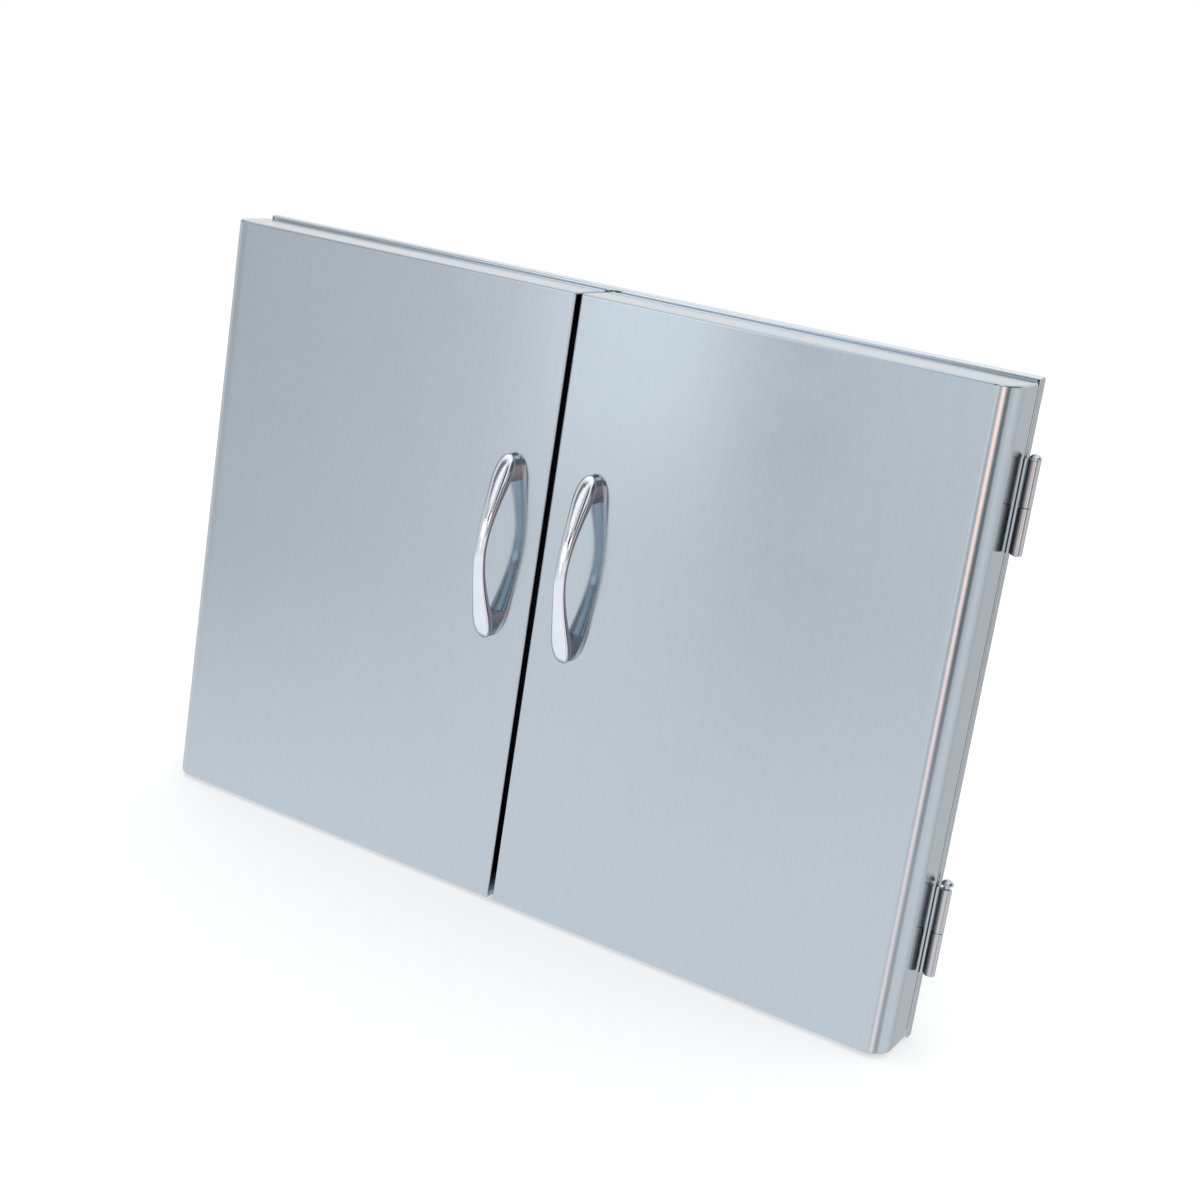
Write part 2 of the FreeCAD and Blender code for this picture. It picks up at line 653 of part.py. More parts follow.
def frame_leaf(hinge_z):
    leaf = hinge_leaf(hinge_z, TRIM_FRONT - LEAF, False)
    places = hinge_rivet_places(hinge_z)
    return leaf.cut([hinge_rivet_room(Vec(x, TRIM_FRONT - LEAF, z), Vec(0, 1, 0)) for x, z in places])


def hinge_pin(hinge_z, lift):
    """Loose pin with a domed head, lifted out of the knuckles by a given amount."""
    bottom = hinge_z - HINGE_LENGTH / 2 - PIN_TIP + lift
    top = hinge_z + HINGE_LENGTH / 2 + lift
    up = Vec(0, 0, 1)
    shank = rod(PIN_DIAMETER / 2, Vec(AXIS_X, AXIS_Y, bottom), up, top - bottom)
    tip = [edge for edge in shank.Edges if abs(edge.BoundBox.ZMax - bottom) < 1e-4]
    shank = shank.makeChamfer(PIN_TIP_CHAMFER, tip)
    rim = rod(PIN_HEAD_DIAMETER / 2, Vec(AXIS_X, AXIS_Y, top), up, PIN_HEAD_RIM)
    cap = dome(PIN_HEAD_DIAMETER / 2, PIN_HEAD_DOME, Vec(AXIS_X, AXIS_Y, top + PIN_HEAD_RIM), up)
    return shank.fuse([rim, cap]).removeSplitter()


def build_hinges():
    door_rivets = []
    frame_rivets = []
    for level, hinge_z in (("upper", HINGE_Z), ("lower", -HINGE_Z)):
        both_sides(level + "_hinge_door_leaf", [door_leaf(hinge_z)])
        both_sides(level + "_hinge_frame_leaf", [frame_leaf(hinge_z)])
        lift = RAISED_PIN_LIFT if level == "lower" else 0.0
        save("right_%s_hinge_pin" % level, [hinge_pin(hinge_z, lift)])
        save("left_%s_hinge_pin" % level, [mirrored_x(hinge_pin(hinge_z, 0.0))])
        for x, z in hinge_rivet_places(hinge_z):
            door_rivets.append(hinge_rivet(Vec(x, DOOR_BACK + LEAF, z), Vec(0, -1, 0)))
            frame_rivets.append(hinge_rivet(Vec(x, TRIM_FRONT - LEAF, z), Vec(0, 1, 0)))
    both_sides("door_hinge_rivets", door_rivets)
    both_sides("stile_hinge_rivets", frame_rivets)


# Magnetic catches

def catch_housing():
    """Moulded body under the sleeve, with an ear for a screw at each end."""
    back = CATCH_FRONT + CATCH_DEPTH
    half = CATCH_MAGNET_WIDTH / 2 + CATCH_WALL
    low = OPENING_HALF_Z - CATCH_HEIGHT
    body = box(CATCH_X - half, CATCH_X + half, CATCH_FRONT, back, low, OPENING_HALF_Z)
    lower_edges = edges_at(body, Vec(0, 1, 0), z=low) + edges_at(body, Vec(1, 0, 0), z=low)
    body = body.makeFillet(CATCH_EDGE, lower_edges)
    reach = half + CATCH_EAR
    ear_half = CATCH_EAR / 2
    middle = (CATCH_FRONT + back) / 2
    ears = box(CATCH_X - reach, CATCH_X + reach, middle - ear_half, middle + ear_half,
               OPENING_HALF_Z - CATCH_EAR_THICKNESS, OPENING_HALF_Z)
    ears = ears.makeFillet(ear_half - CATCH_EDGE, edges_at(ears, Vec(0, 0, 1)))
    pocket_half = CATCH_MAGNET_WIDTH / 2 + CATCH_FIT
    pocket = box(CATCH_X - pocket_half, CATCH_X + pocket_half, CATCH_FRONT - CATCH_WALL,
                 POLE_FRONT + POLE_STAND + MAGNET_DEPTH + CATCH_FIT, low + CATCH_WALL,
                 OPENING_HALF_Z - CATCH_WALL)
    holes = []
    for x, y in catch_screw_places():
        holes.append(rod(CATCH_SCREW / 2 + SHANK_CLEARANCE, Vec(x, y, low), Vec(0, 0, 1), CATCH_HEIGHT))
    return body.fuse(ears).removeSplitter().cut([pocket] + holes)


def catch_magnet():
    low = OPENING_HALF_Z - CATCH_HEIGHT + CATCH_WALL + POLE + CATCH_FIT
    high = OPENING_HALF_Z - CATCH_WALL - POLE - CATCH_FIT
    half = CATCH_MAGNET_WIDTH / 2
    return box(CATCH_X - half, CATCH_X + half, CATCH_FRONT, CATCH_FRONT + MAGNET_DEPTH, low, high)


def catch_poles():
    """Steel plates below and above the magnet, standing proud to meet the strike."""
    half = CATCH_MAGNET_WIDTH / 2
    back = CATCH_FRONT + MAGNET_DEPTH
    lower = OPENING_HALF_Z - CATCH_HEIGHT + CATCH_WALL + CATCH_FIT
    upper = OPENING_HALF_Z - CATCH_WALL - CATCH_FIT - POLE
    plates = []
    for low in (lower, upper):
        plates.append(box(CATCH_X - half, CATCH_X + half, POLE_FRONT, back, low, low + POLE))
    return plates


def catch_screw(x, y):
    """Pan head screw up through an ear and the sleeve."""
    seat = Vec(x, y, OPENING_HALF_Z - CATCH_EAR_THICKNESS)
    shank = rod(CATCH_SCREW / 2, seat, Vec(0, 0, 1), CATCH_SCREW_LENGTH)
    head = dome(CATCH_SCREW_HEAD / 2, CATCH_SCREW_HEAD_HEIGHT, seat, Vec(0, 0, -1))
    slot_half = CATCH_SCREW / 8
    slot = box(x - CATCH_SCREW_HEAD, x + CATCH_SCREW_HEAD, y - slot_half, y + slot_half,
               seat.z - CATCH_SCREW_HEAD_HEIGHT, seat.z - CATCH_SCREW_HEAD_HEIGHT / 2)
    return shank.fuse(head).removeSplitter().cut(slot)


def strike_plate():
    half = STRIKE_WIDTH / 2
    plate = box(CATCH_X - half, CATCH_X + half, RETURN_FRONT, STRIKE_BACK,
                OPENING_HALF_Z - CATCH_HEIGHT, OPENING_HALF_Z)
    plate = plate.makeFillet(STRIKE_CORNER, edges_at(plate, Vec(0, 1, 0)))
    return plate.cut([strike_rivet_room(face) for face in strike_rivet_faces()])


def build_catches():
    both_sides("catch_housing", [catch_housing()])
    both_sides("catch_magnet", [catch_magnet()])
    both_sides("catch_pole_plates", catch_poles())
    both_sides("catch_screws", [catch_screw(x, y) for x, y in catch_screw_places()])
    both_sides("strike_plate", [strike_plate()])
    both_sides("strike_rivets", [strike_rivet(face) for face in strike_rivet_faces()])


os.makedirs("parts", exist_ok=True)
build_frame()
build_doors()
build_handles()
build_hinges()
build_catches()
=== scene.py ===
import math

import bpy
from mathutils import Euler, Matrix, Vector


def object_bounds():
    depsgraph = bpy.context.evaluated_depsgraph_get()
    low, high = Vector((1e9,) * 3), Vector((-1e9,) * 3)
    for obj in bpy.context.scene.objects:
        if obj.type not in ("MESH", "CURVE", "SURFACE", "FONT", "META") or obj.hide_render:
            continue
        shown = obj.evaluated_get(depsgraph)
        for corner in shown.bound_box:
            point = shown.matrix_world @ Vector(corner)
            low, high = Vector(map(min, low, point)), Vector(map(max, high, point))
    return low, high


# Double access door for an outdoor kitchen island, in brushed stainless steel with chrome handles.
# Every length is in metres. The doors face -Y, and +Z is up.

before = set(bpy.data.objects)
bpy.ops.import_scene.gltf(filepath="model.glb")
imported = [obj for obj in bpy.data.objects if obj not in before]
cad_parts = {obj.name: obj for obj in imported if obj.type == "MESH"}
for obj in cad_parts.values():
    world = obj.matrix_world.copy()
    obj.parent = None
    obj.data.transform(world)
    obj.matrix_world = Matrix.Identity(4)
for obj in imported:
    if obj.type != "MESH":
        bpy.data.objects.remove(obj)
cad_low, cad_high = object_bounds()

X, Y, Z = range(3)


# Node helpers

def wire(tree, source, target):
    tree.links.new(source, target)


def put(tree, socket, value):
    """Link a socket to another, or set it to a plain value."""
    if isinstance(value, bpy.types.NodeSocket):
        wire(tree, value, socket)
    else:
        socket.default_value = value


def add_node(tree, kind, operation, *values):
    """Maths node of one kind, with its inputs linked or set."""
    node = tree.nodes.new(kind)
    node.operation = operation
    for index, value in enumerate(values):
        put(tree, node.inputs[index], value)
    return node.outputs[0]


def add_math(tree, operation, *values):
    return add_node(tree, "ShaderNodeMath", operation, *values)


def add_vector_math(tree, operation, *values):
    return add_node(tree, "ShaderNodeVectorMath", operation, *values)


def add_range(tree, value, span, target):
    """Map a value from one (low, high) pair to another, with a clamp."""
    node = tree.nodes.new("ShaderNodeMapRange")
    for index, item in enumerate((value, *span, *target)):
        put(tree, node.inputs[index], item)
    return node.outputs[0]


def add_mix(tree, share, first, second, blend="MIX"):
    """Mix two colours."""
    node = tree.nodes.new("ShaderNodeMix")
    node.data_type = "RGBA"
    node.blend_type = blend
    put(tree, node.inputs[0], share)
    put(tree, node.inputs[6], first)
    put(tree, node.inputs[7], second)
    return node.outputs[2]


def add_ramp(tree, value, stops):
    """Straight ramp through (place, grey or colour) stops, of which it holds 32 at most."""
    node = tree.nodes.new("ShaderNodeValToRGB")
    node.color_ramp.interpolation = "LINEAR"
    put(tree, node.inputs[0], value)
    elements = node.color_ramp.elements
    while len(elements) < len(stops):
        elements.new(0.5)
    for element, (place, shade) in zip(elements, stops):
        element.position = place
        colour = shade if isinstance(shade, tuple) else (shade, shade, shade)
        element.color = (*colour, 1.0)
    return node.outputs[0]


def add_noise(tree, place, scale, detail=2.0, roughness=0.5):
    """Noise whose scale along each axis is given in cycles per metre."""
    mapping = tree.nodes.new("ShaderNodeMapping")
    wire(tree, place, mapping.inputs["Vector"])
    mapping.inputs["Scale"].default_value = scale
    noise = tree.nodes.new("ShaderNodeTexNoise")
    noise.inputs["Scale"].default_value = 1.0
    noise.inputs["Detail"].default_value = detail
    noise.inputs["Roughness"].default_value = roughness
    wire(tree, mapping.outputs[0], noise.inputs["Vector"])
    return noise.outputs[0]


def add_axes(tree, vector):
    """The three parts of a vector."""
    split = tree.nodes.new("ShaderNodeSeparateXYZ")
    wire(tree, vector, split.inputs[0])
    return split.outputs


def add_distance(tree, place, axis):
    """Distance from the middle of the object along one axis."""
    return add_math(tree, "ABSOLUTE", add_axes(tree, place)[axis])


def new_material(name):
    material = bpy.data.materials.new(name)
    material.use_nodes = True
    tree = material.node_tree
    shader = tree.nodes["Principled BSDF"]
    place = tree.nodes.new("ShaderNodeTexCoord").outputs["Object"]
    return material, tree, shader, place


def set_colour(tree, shader, colour, light):
    """Base colour, made lighter or darker by a grey factor."""
    wire(tree, add_mix(tree, 1.0, (*colour, 1.0), light, "MULTIPLY"), shader.inputs["Base Color"])


def add_bump(tree, shader, height, strength, distance):
    bump = tree.nodes.new("ShaderNodeBump")
    bump.inputs["Strength"].default_value = strength
    bump.inputs["Distance"].default_value = distance
    wire(tree, height, bump.inputs["Height"])
    wire(tree, bump.outputs[0], shader.inputs["Normal"])


# Painted light and shade: where steel sheet is lighter or darker than its own tint

# Painted shade on the faces where the two doors meet, by distance from the middle
MEETING_FADE = (0.0026, 0.0030)
MEETING_PAINTED_SHADE = 0.6

# Painted light on the outer edge of the trim, by distance from its end: a painted highlight on the
# rails, painted shade on the stiles
TRIM_HALF_WIDTH = 0.381
TRIM_RIM_PAINTED_FADE = (0.0026, 0.0014)
RAIL_RIM_PAINTED_HIGHLIGHT = 1.25
STILE_RIM_PAINTED_SHADE = 0.85

# Painted shade and painted highlight on the hinge leaves, by distance from the middle
LEAF_INNER = 0.375
LEAF_OUTER = 0.395
LEAF_PAINTED_LIGHT = [
    (0.3776, 1.0), (0.3782, 0.2), (0.3812, 0.2), (0.3817, 1.5), (0.3828, 1.5), (0.3835, 0.3),
    (0.3866, 0.3), (0.3890, 1.0),
]


def meeting_painted_shade(tree, place):
    """Painted shade: darker steel on the faces where the two doors meet."""
    return add_range(tree, add_distance(tree, place, X), MEETING_FADE, (MEETING_PAINTED_SHADE, 1.0))


def rim_painted_light(tree, place, axis, reach, bright):
    """Painted light along the rounded outer edge of the trim."""
    inside = add_math(tree, "SUBTRACT", reach, add_distance(tree, place, axis))
    return add_range(tree, inside, TRIM_RIM_PAINTED_FADE, (1.0, bright))


def rail_painted_highlight(tree, place):
    return rim_painted_light(tree, place, Z, cad_high.z, RAIL_RIM_PAINTED_HIGHLIGHT)


def stile_painted_shade(tree, place):
    return rim_painted_light(tree, place, X, TRIM_HALF_WIDTH, STILE_RIM_PAINTED_SHADE)


def leaf_painted_light(tree, place):
    """Hinge leaves: painted shade behind the door, a painted highlight at the bend, painted shade
    on the inner flank.
    """
    span = LEAF_OUTER - LEAF_INNER
    across = add_range(tree, add_distance(tree, place, X), (LEAF_INNER, LEAF_OUTER), (0.0, 1.0))
    return add_ramp(tree, across, [((x - LEAF_INNER) / span, grey) for x, grey in LEAF_PAINTED_LIGHT])


# Metals, plastic and rubber. Tints are in linear light, scales in cycles per metre.

DOOR_TINT = (0.500, 0.566, 0.622)
FRAME_TINT = (0.520, 0.575, 0.622)
LINER_TINT = (0.480, 0.530, 0.575)
SMALL_PART_TINT = (0.520, 0.540, 0.570)
STRIKE_TINT = (0.500, 0.520, 0.550)
CATCH_BLACK = (0.022, 0.022, 0.025)
FERRITE_GREY = (0.045, 0.044, 0.046)
RUBBER_BLACK = (0.028, 0.028, 0.030)

# Part of a noise's range that is spread over the full contrast
NOISE_SPAN = (0.3, 0.7)

GRAIN_ACROSS = 2400.0
GRAIN_ALONG = 90.0
GRAIN_LEAN = 0.05
GRAIN_CONTRAST = 0.035
GRAIN_SPAN = (0.25, 0.75)
GRAIN_ROUGHNESS = 0.02
GRAIN_BUMP = (0.05, 0.00001)
STREAK_ACROSS = 150.0
STREAK_ALONG = 4.0
STREAK_CONTRAST = 0.006
MOTTLE_SCALE = (14.0, 14.0, 14.0)
MOTTLE_CONTRAST = 0.008
MOTTLE_ROUGHNESS = (-0.012, 0.012)

CHROME_TINT = (0.760, 0.805, 0.860)
CHROME_RIM_TINT = (0.22, 0.26, 0.32, 1.0)
SMEAR_SCALE = (70.0, 70.0, 25.0)
SMEAR_LIGHT = (0.97, 1.02)
SMEAR_SPAN = (0.35, 0.75)
SMEAR_ROUGHNESS = (0.015, 0.04)
HAIRLINE_SCALE = (2600.0, 2600.0, 60.0)
HAIRLINE_SPAN = (0.55, 0.8)
HAIRLINE_ROUGHNESS = (0.0, 0.02)
HAIRLINE_BUMP = (0.03, 0.00001)

# Painted shade on a handle's flank: it darkens as the X part of its normal passes through
# FLANK_TURN, and is light again where the Y part has passed BACK_TURN
FLANK_PAINTED_SHADE = 0.35
FLANK_TURN = (0.88, 0.985)
BACK_TURN = (0.02, 0.10)

SPECKLE_SCALE = (900.0, 900.0, 900.0)
SPECKLE_LIGHT = (0.94, 1.05)
SPECKLE_BUMP = (0.08, 0.00003)
CLOUD_SCALE = (120.0, 120.0, 120.0)
CLOUD_LIGHT = (0.96, 1.03)

TEXTURE_LIGHT = (0.8, 1.25)
TEXTURE_BUMP = 0.35


def grain_scale(axis, across, along):
    """Scale of a grain that runs along one axis."""
    return tuple(along if index == axis else across for index in range(3))


def across_grain(tree, axis):
    """Direction in the surface at right angles to the grain, which turns over the bends."""
    grain = [0.0, GRAIN_LEAN, 0.0]
    grain[axis] = 1.0
    normal = tree.nodes.new("ShaderNodeNewGeometry").outputs["Normal"]
    across = add_vector_math(tree, "CROSS_PRODUCT", normal, tuple(grain))
    return add_vector_math(tree, "NORMALIZE", across)


def brushed_steel(name, tint, axis, roughness=0.12, anisotropy=0.4, shade=None):
    """Steel brushed along one axis: fine grain, wider streaks and a faint mottle, with painted
    light from shade where given.
    """
    material, tree, shader, place = new_material(name)
    grain = add_noise(tree, place, grain_scale(axis, GRAIN_ACROSS, GRAIN_ALONG))
    streak = add_noise(tree, place, grain_scale(axis, STREAK_ACROSS, STREAK_ALONG))
    mottle = add_noise(tree, place, MOTTLE_SCALE, detail=3.0, roughness=0.55)
    light = 1.0
    for noise, contrast in ((grain, GRAIN_CONTRAST), (streak, STREAK_CONTRAST),
                            (mottle, MOTTLE_CONTRAST)):
        factor = add_range(tree, noise, NOISE_SPAN, (1 - contrast, 1 + contrast))
        light = add_math(tree, "MULTIPLY", light, factor)
    # shade paints light and shade into the base colour: the meeting faces, the trim rim and the
    # hinge leaves
    if shade:
        light = add_math(tree, "MULTIPLY", light, shade(tree, place))
    set_colour(tree, shader, tint, light)
    rough = add_math(tree, "ADD",
                     add_range(tree, grain, GRAIN_SPAN,
                               (roughness - GRAIN_ROUGHNESS, roughness + GRAIN_ROUGHNESS)),
                     add_range(tree, mottle, NOISE_SPAN, MOTTLE_ROUGHNESS))
    wire(tree, rough, shader.inputs["Roughness"])
    shader.inputs["Metallic"].default_value = 1.0
    shader.inputs["Anisotropic"].default_value = anisotropy
    wire(tree, across_grain(tree, axis), shader.inputs["Tangent"])
    add_bump(tree, shader, grain, *GRAIN_BUMP)
    return material


def flank_painted_shade(tree):
    """Painted shade on the flanks of the handles, except where they face the door."""
    facing = add_axes(tree, tree.nodes.new("ShaderNodeTexCoord").outputs["Normal"])
    sideways = add_math(tree, "ABSOLUTE", facing[X])
    return add_math(tree, "MAXIMUM",
                    add_range(tree, sideways, FLANK_TURN, (1.0, FLANK_PAINTED_SHADE)),
                    add_range(tree, facing[Y], BACK_TURN, (FLANK_PAINTED_SHADE, 1.0)))


def chrome(name):
    """Polished chrome with faint smears and hairlines, and painted shade on the flanks."""
    material, tree, shader, place = new_material(name)
    smear = add_noise(tree, place, SMEAR_SCALE, detail=3.0, roughness=0.6)
    hairline = add_noise(tree, place, HAIRLINE_SCALE)
    light = add_math(tree, "MULTIPLY", add_range(tree, smear, NOISE_SPAN, SMEAR_LIGHT),
                     flank_painted_shade(tree))
    set_colour(tree, shader, CHROME_TINT, light)
    rough = add_math(tree, "ADD", add_range(tree, smear, SMEAR_SPAN, SMEAR_ROUGHNESS),
                     add_range(tree, hairline, HAIRLINE_SPAN, HAIRLINE_ROUGHNESS))
    wire(tree, rough, shader.inputs["Roughness"])
    shader.inputs["Metallic"].default_value = 1.0
    shader.inputs["Specular Tint"].default_value = CHROME_RIM_TINT
    add_bump(tree, shader, hairline, *HAIRLINE_BUMP)
    return material


def turned_steel(name, tint, roughness):
    """Small steel parts: fine speckle, and a roughness that drifts between two values."""
    material, tree, shader, place = new_material(name)
    speckle = add_noise(tree, place, SPECKLE_SCALE, detail=3.0, roughness=0.6)
    cloud = add_noise(tree, place, CLOUD_SCALE)
    light = add_math(tree, "MULTIPLY", add_range(tree, speckle, NOISE_SPAN, SPECKLE_LIGHT),
                     add_range(tree, cloud, NOISE_SPAN, CLOUD_LIGHT))
    set_colour(tree, shader, tint, light)
    wire(tree, add_range(tree, cloud, NOISE_SPAN, roughness), shader.inputs["Roughness"])
    shader.inputs["Metallic"].default_value = 1.0
    add_bump(tree, shader, speckle, *SPECKLE_BUMP)
    return material


def moulded(name, colour, roughness, scale, depth):
    """Plastic, rubber or ferrite: fine texture, and a roughness between two values."""
    material, tree, shader, place = new_material(name)
    texture = add_noise(tree, place, (scale, scale, scale), detail=4.0, roughness=0.6)
    set_colour(tree, shader, colour, add_range(tree, texture, NOISE_SPAN, TEXTURE_LIGHT))
    wire(tree, add_range(tree, texture, NOISE_SPAN, roughness), shader.inputs["Roughness"])
    add_bump(tree, shader, texture, TEXTURE_BUMP, depth)
    return material


# Finishes by the material of the CAD node; the trim's and the pins' go by the node's name
finishes = {
    "door_steel": brushed_steel("door_steel_brushed", DOOR_TINT, Z, shade=meeting_painted_shade),
    "liner_steel": brushed_steel("liner_steel_brushed", LINER_TINT, Z, roughness=0.3),
    "hinge_steel": brushed_steel("hinge_steel_satin", SMALL_PART_TINT, Z, roughness=0.2,
                                 anisotropy=0.3, shade=leaf_painted_light),
    "hinge_pin": brushed_steel("hinge_pin_satin", SMALL_PART_TINT, Z, roughness=0.2,
                               anisotropy=0.3),
    "handle_chrome": chrome("handle_chrome"),
    "fastener_steel": turned_steel("fastener_steel_turned", SMALL_PART_TINT, (0.25, 0.36)),
    "strike_steel": turned_steel("strike_steel_plated", STRIKE_TINT, (0.31, 0.42)),
    "catch_plastic": moulded("catch_plastic_black", CATCH_BLACK, (0.42, 0.56), 1400.0, 0.00005),
    "magnet_ferrite": moulded("magnet_ferrite_grey", FERRITE_GREY, (0.56, 0.70), 2200.0, 0.00008),
    "bumper_rubber": moulded("bumper_rubber_black", RUBBER_BLACK, (0.64, 0.78), 900.0, 0.00006),
}
frame_finishes = {
    "rail": brushed_steel("frame_steel_rail", FRAME_TINT, X, shade=rail_painted_highlight),
    "stile": brushed_steel("frame_steel_stile", FRAME_TINT, Z, shade=stile_painted_shade),
}
for name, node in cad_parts.items():
    slot = node.data.materials[0].name
    if slot == "frame_steel":
        finish = frame_finishes[name.rsplit("_", 1)[1]]
    elif name.endswith("_hinge_pin"):
        finish = finishes["hinge_pin"]
    else:
        finish = finishes[slot]
    for holder in node.material_slots:
        holder.material = finish


# Floor

FLOOR_RADIUS = 4.0
FLOOR_DROP = 0.0004
FLOOR_SIDES = 96
FLOOR_GREY = (0.72, 0.72, 0.72, 1.0)
FLOOR_GLOW = 0.4


def floor_white():
    """White that keeps a shadow, with a glow that only the camera sees."""
    material = bpy.data.materials.new("floor_white")
    material.use_nodes = True
    tree = material.node_tree
    tree.nodes.clear()
    diffuse = tree.nodes.new("ShaderNodeBsdfDiffuse")
    diffuse.inputs["Color"].default_value = FLOOR_GREY
    glow = tree.nodes.new("ShaderNodeEmission")
    camera_ray = tree.nodes.new("ShaderNodeLightPath").outputs["Is Camera Ray"]
    wire(tree, add_math(tree, "MULTIPLY", camera_ray, FLOOR_GLOW), glow.inputs["Strength"])
    both = tree.nodes.new("ShaderNodeAddShader")
    wire(tree, diffuse.outputs[0], both.inputs[0])
    wire(tree, glow.outputs[0], both.inputs[1])
    output = tree.nodes.new("ShaderNodeOutputMaterial")
    wire(tree, both.outputs[0], output.inputs["Surface"])
    return material


def build_floor():
    """Disc just under the frame, which the metals don't mirror."""
    height = cad_low.z - FLOOR_DROP
    points = []
    for index in range(FLOOR_SIDES):
        angle = 2 * math.pi * index / FLOOR_SIDES
        points.append((FLOOR_RADIUS * math.cos(angle), FLOOR_RADIUS * math.sin(angle), height))
    mesh = bpy.data.meshes.new("floor")
    mesh.from_pydata(points, [], [list(range(FLOOR_SIDES))])
    mesh.materials.append(floor_white())
    floor = bpy.data.objects.new("floor", mesh)
    bpy.context.scene.collection.objects.link(floor)
    floor.visible_glossy = False


# Room that the metals see, by bearing in degrees from the front towards the right

WHITE = (1.0, 1.0, 1.0, 1.0)
PEACH = (2.05, 1.38, 1.12)
PALE_PEACH = (1.80, 1.26, 1.14)
PINK_WHITE = (1.38, 1.18, 1.12)
CREAM = (1.35, 1.05, 0.85)
TERRACOTTA = (1.05, 0.42, 0.27)
HIGH_WALL_BANDS = [
    (-180, 0.69), (-120, 0.62), (-95, 0.86), (-80, 0.66), (-55, 0.66), (-41, 0.70), (-38, 0.78),
    (-33, 0.84), (-30.8, 0.86), (-30, 1.55), (-28.4, 1.14), (-26.2, 1.42), (-24.7, 0.98),
    (-23.4, 0.62), (-21.8, 0.78), (-20, 0.93), (8, 0.92), (13.5, 1.20), (16, 0.78), (22, 0.66),
    (28, 0.78), (32.5, PEACH), (42, PEACH), (47, 0.80), (53, 0.28), (64, 0.24), (69, 0.66),
    (75, 0.78), (96, 0.97), (124, 0.84), (150, 0.69), (180, 0.69),
]
LOW_WALL_BANDS = [
    (-180, 0.66), (-120, 0.70), (-95, 0.90), (-80, 0.74), (-55, 0.74), (-41, 0.75), (-38, 0.81),
    (-33, 0.88), (-30.5, 0.94), (-29.5, 1.04), (-26, 1.0), (-24.6, 0.92), (-22.8, 0.81),
    (-20, 0.87), (-16, 0.91), (8, 0.92), (13.5, 1.10), (16, 0.80), (22, 0.66), (28, 0.70),
    (33, PALE_PEACH), (41, PALE_PEACH), (47, 0.60), (53, 0.24), (64, 0.24), (69, 0.62), (75, 0.76),
    (96, 0.95), (124, 0.86), (150, 0.66), (180, 0.66),
]
TABLE_BANDS = [
    (-180, 0.68), (-140, 0.68), (-110, 0.90), (-80, 1.02), (16, 1.02), (24, 0.88), (29, 0.96),
    (33, PINK_WHITE), (41, PINK_WHITE), (47, 0.80), (53, 0.60), (64, 0.60), (72, 0.96),
    (110, 0.98), (124, 0.90), (150, 0.68), (180, 0.68),
]
MIDDLE_BANDS = [
    (-180, 0.92), (-136, 0.92), (-115, 0.60), (-91, 0.42), (-78, 0.52), (-68, 0.74), (-48, 0.74),
    (-42, 0.60), (-38, 0.75), (-34, 1.10), (-30.5, 1.80), (-24.5, 1.80), (-21, 1.40), (-18, 1.20),
    (-16.5, 0.15), (-13, 0.15), (-11.5, 1.50), (-7, 1.50), (-5.5, 0.15), (3, 0.15), (5, 1.30),
    (10, 1.10), (14, 0.35), (28, 0.50), (42, 0.18), (66, 0.18), (90, 0.60), (118, 0.60),
    (140, 0.85), (180, 0.92),
]
UPPER_BANDS = [
    (-180, 0.92), (-136, 0.92), (-115, 0.60), (-91, 0.42), (-78, 0.50), (-66, 0.82), (-50, 0.82),
    (-40, 0.70), (-33.5, 0.62), (-32, 0.36), (-30.4, 0.40), (-29.2, 1.50), (-26.5, 1.10),
    (-24, 0.12), (-18, 0.05), (-13.5, 0.50), (-9, 1.70), (1, 1.50), (6, CREAM),
    (10, TERRACOTTA), (21, TERRACOTTA), (28, 0.22), (42, 0.10), (58, 0.14), (68, 0.30),
    (84, 0.56), (102, 0.70), (118, 0.50), (140, 0.85), (180, 0.92),
]
TOP_BANDS = [
    (-180, 1.00), (-130, 0.90), (-100, 0.42), (-84, 0.48), (-72, 0.66), (-64, 0.95), (-54, 0.90),
    (-47, 0.42), (-40, 0.14), (-37, 0.30), (-33, 1.20), (-26, 1.05), (-21, 0.40), (-16, 1.00),
    (-12, 0.60), (-8, 0.30), (-4, 0.03), (6, 0.05), (11, 0.30), (16, 0.95), (30, 1.05),
    (42, 0.80), (52, 0.50), (64, 0.16), (90, 0.06), (120, 0.20), (140, 0.90), (180, 1.00),
]
CEILING_BANDS = [(-180, 1.20), (180, 1.20)]

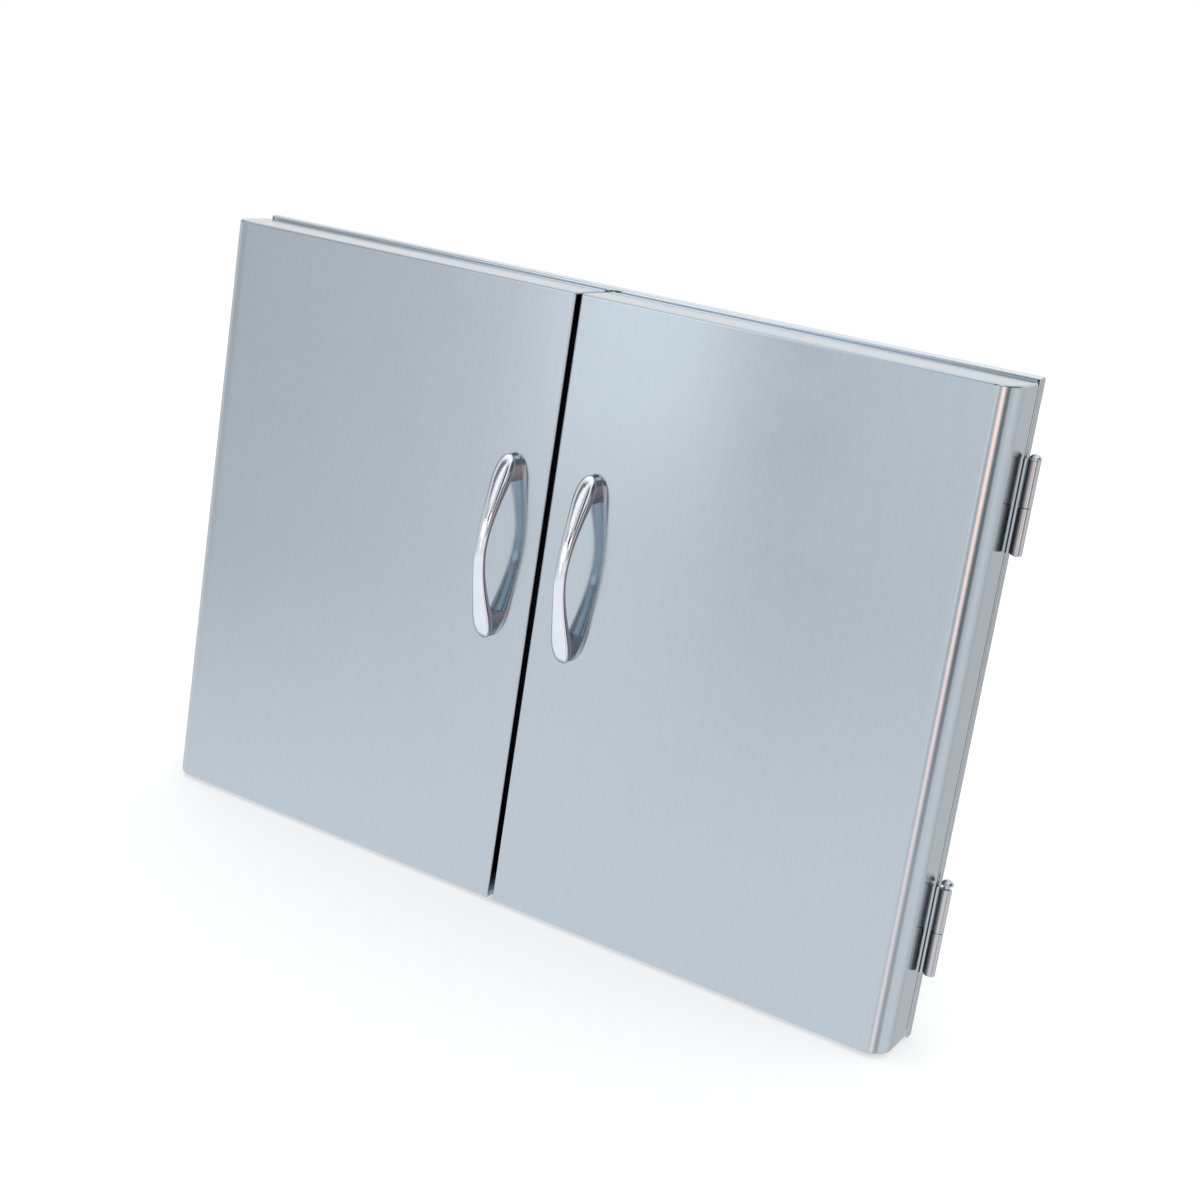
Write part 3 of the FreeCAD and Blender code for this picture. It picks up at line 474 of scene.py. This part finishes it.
# The high wall is everywhere at first. Each layer then fades in between two heights of the line
# of sight, given as the sine of its elevation.
LAYERS = [
    ((-0.15, -0.235), LOW_WALL_BANDS),
    ((-0.02, 0.03), MIDDLE_BANDS),
    ((0.16, 0.20), UPPER_BANDS),
    ((0.25, 0.29), TOP_BANDS),
    ((0.66, 0.84), CEILING_BANDS),
    ((-0.26, -0.38), TABLE_BANDS),
]


def add_bands(tree, turn, bands):
    """Shades by bearing, where turn runs from 0 to 1 round the compass."""
    return add_ramp(tree, turn, [((degrees + 180) / 360, shade) for degrees, shade in bands])


def build_world():
    """White for the camera, plain light for dull surfaces, and the room for shiny ones."""
    world = bpy.data.worlds.new("studio")
    bpy.context.scene.world = world
    world.use_nodes = True
    tree = world.node_tree
    background = tree.nodes["Background"]
    sight = add_axes(tree, tree.nodes.new("ShaderNodeTexCoord").outputs["Generated"])
    bearing = add_math(tree, "ARCTAN2", sight[X], add_math(tree, "MULTIPLY", sight[Y], -1.0))
    turn = add_range(tree, bearing, (-math.pi, math.pi), (0.0, 1.0))
    room = add_bands(tree, turn, HIGH_WALL_BANDS)
    for edge, bands in LAYERS:
        share = add_range(tree, sight[Z], edge, (0.0, 1.0))
        room = add_mix(tree, share, room, add_bands(tree, turn, bands))
    light_path = tree.nodes.new("ShaderNodeLightPath").outputs
    mirror = add_math(tree, "MAXIMUM", light_path["Is Glossy Ray"],
                      light_path["Is Transmission Ray"])
    wire(tree, add_mix(tree, mirror, WHITE, room), background.inputs["Color"])
    background.inputs["Strength"].default_value = 1.0


# Camera: a long lens from the front right, tilted down and rolled as the photograph is

CAMERA_PLACE = (0.7772, -1.4234, 0.4550)
CAMERA_TURN = (77.026, -8.226, 31.654)
CAMERA_LENS = 56.215
CAMERA_SHIFT = (0.0414, -0.0853)


def build_camera():
    camera = bpy.data.objects.new("camera", bpy.data.cameras.new("camera"))
    bpy.context.scene.collection.objects.link(camera)
    camera.location = CAMERA_PLACE
    camera.rotation_euler = Euler([math.radians(angle) for angle in CAMERA_TURN])
    camera.data.lens = CAMERA_LENS
    camera.data.shift_x, camera.data.shift_y = CAMERA_SHIFT
    bpy.context.scene.camera = camera


build_floor()
build_world()
build_camera()
bpy.context.scene.view_settings.view_transform = "Standard"
